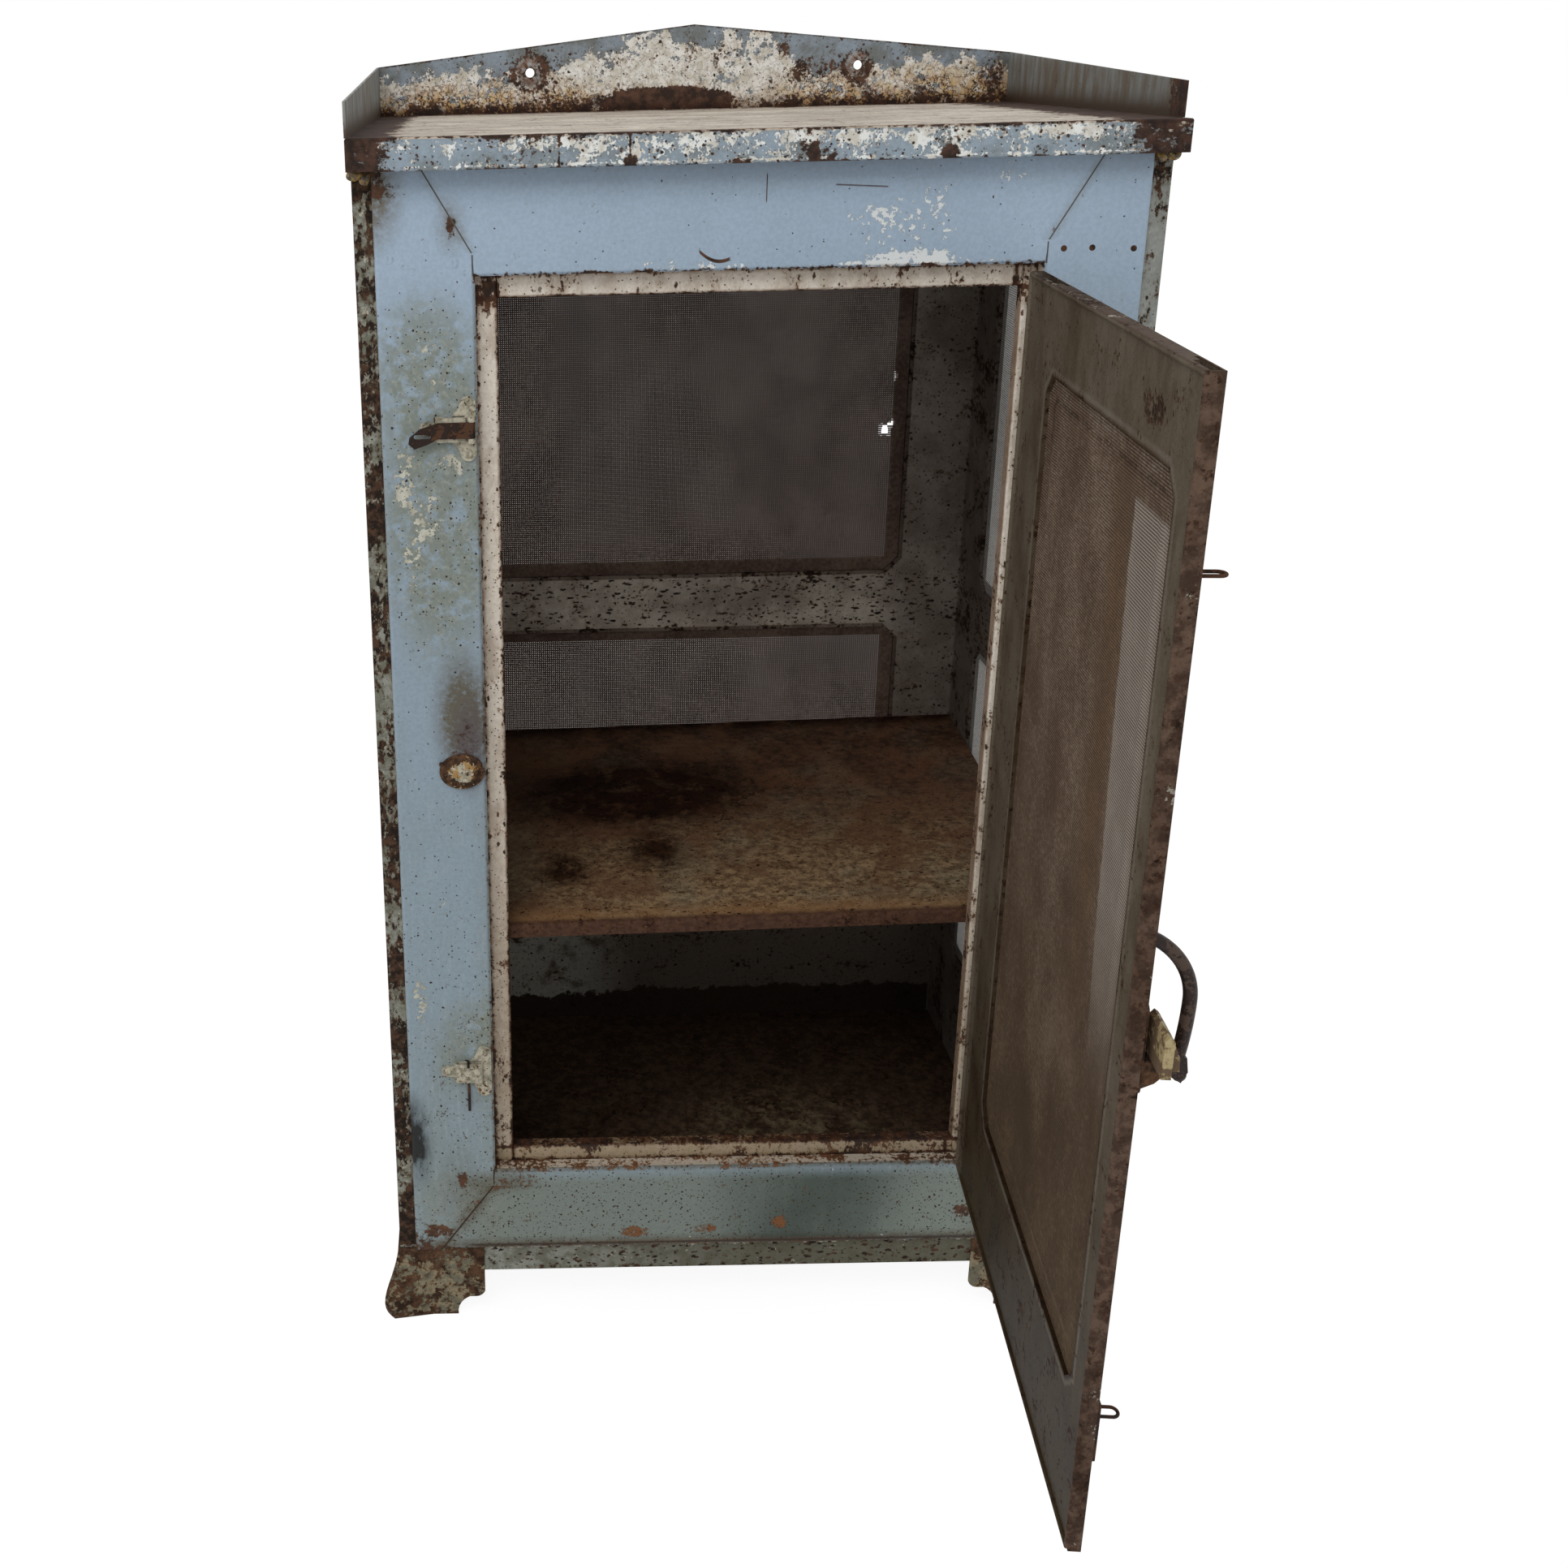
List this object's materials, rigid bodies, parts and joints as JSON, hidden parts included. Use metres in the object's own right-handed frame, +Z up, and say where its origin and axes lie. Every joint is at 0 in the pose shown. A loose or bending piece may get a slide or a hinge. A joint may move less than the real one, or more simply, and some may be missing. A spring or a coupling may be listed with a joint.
{
  "type": "pie safe",
  "caption": "Sheet-steel pie safe on bracket feet with a gabled gallery, gauze sides and back, a shelf and a tall gauze door standing open.",
  "frame": {"origin": "floor level under the middle of the width, in the plane of the face frame's front", "axes": "+X to the right seen from the front, +Y to the back, +Z up"},
  "size_m": [0.663, 0.9138, 1.187],
  "materials": {
    "blue_paint": "worn matt blue paint, chipped to cream and rust",
    "top_paint": "worn blue-grey paint over cream, rusted edges",
    "gallery_paint": "worn blue-grey paint flaked to cream, ochre and rust",
    "post_paint": "grey-green paint, pitted and rusted",
    "foot_iron": "dark rust with remains of paint",
    "stop_paint": "cream paint rubbed and stained with rust",
    "panel_paint": "pale grey paint, dirty, pitted with rust",
    "door_paint": "olive-grey paint, stained brown",
    "gauze_wire": "fine woven wire, oxidised",
    "shelf_paint": "olive-brown, stained and pitted",
    "floor_paint": "dark brown rust and old paint",
    "rusty_iron": "dark brown rust",
    "plate_iron": "old paint over iron, rusted at the rim",
    "handle_iron": "dark, smooth, hand-worn",
    "nose_steel": "cast, worn grey with yellowish ridges"
  },
  "bodies": {
    "carcass": {"back_gauze": "gauze_wire", "back_rail_bottom": "panel_paint", "back_rail_middle": "panel_paint", "back_rail_top": "panel_paint", "back_stile_left": "panel_paint", "back_stile_right": "panel_paint", "bottom_rail_front": "post_paint", "bottom_rail_rear": "post_paint", "bottom_rails_side": "post_paint", "door_stop_bottom": "stop_paint", "door_stop_left": "stop_paint", "door_stop_right": "stop_paint", "door_stop_top": "stop_paint", "face_rail_bottom": "blue_paint", "face_rail_top": "blue_paint", "face_stile_left": "blue_paint", "face_stile_right": "blue_paint", "floor_panel": "floor_paint", "foot_front_left": "foot_iron", "foot_front_right": "foot_iron", "foot_rear_left": "foot_iron", "foot_rear_right": "foot_iron", "gallery_back": "gallery_paint", "gallery_left": "gallery_paint", "gallery_right": "gallery_paint", "hasp_plate_lower": "plate_iron", "hasp_plate_upper": "plate_iron", "hinge_leaves_frame": "rusty_iron", "latch_keeper": "plate_iron", "left_gauze": "gauze_wire", "left_rail_bottom": "panel_paint", "left_rail_middle": "panel_paint", "left_rail_top": "panel_paint", "left_stile_front": "panel_paint", "left_stile_rear": "panel_paint", "post_front_left": "post_paint", "post_front_right": "post_paint", "post_rear_left": "post_paint", "post_rear_right": "post_paint", "right_gauze": "gauze_wire", "right_rail_bottom": "panel_paint", "right_rail_middle": "panel_paint", "right_rail_top": "panel_paint", "right_stile_front": "panel_paint", "right_stile_rear": "panel_paint", "shelf": "shelf_paint", "shelf_ledges": "shelf_paint", "top_panel": "top_paint"},
    "door": {"door_stile_hinge": "door_paint", "door_stile_free": "door_paint", "door_rail_bottom": "door_paint", "door_rail_top": "door_paint", "door_gauze": "gauze_wire", "hinge_leaves_door": "rusty_iron", "latch_plate": "plate_iron", "door_staples": "rusty_iron"},
    "latch": {"latch_handle": "handle_iron", "latch_nose": "nose_steel"},
    "strap": {"hasp_strap": "rusty_iron"},
    "pin": {"drop_pin": "rusty_iron"}
  },
  "joints": [
    {"name": "door_hinge", "type": "hinge", "parent": "carcass", "child": "door", "pos_m": [0.2235, -0.0034, 0.578], "axis": [0, 0, 1], "range_deg": [-84.8, 86]},
    {"name": "latch_lever", "type": "hinge", "parent": "door", "child": "latch", "pos_m": [0.19169, -0.42575, 0.558], "axis": [0.0906, 0.9959, 0], "range_deg": [0, 20]},
    {"name": "hasp_hinge", "type": "hinge", "parent": "carcass", "child": "strap", "pos_m": [-0.2273, -0.0053, 0.8795], "axis": [0, 0, 1], "range_deg": [0, 176]},
    {"name": "pin_swing", "type": "hinge", "parent": "carcass", "child": "pin", "pos_m": [-0.2445, -0.003, 0.2899], "axis": [0, 1, 0], "range_deg": [-22, 22]}
  ]
}
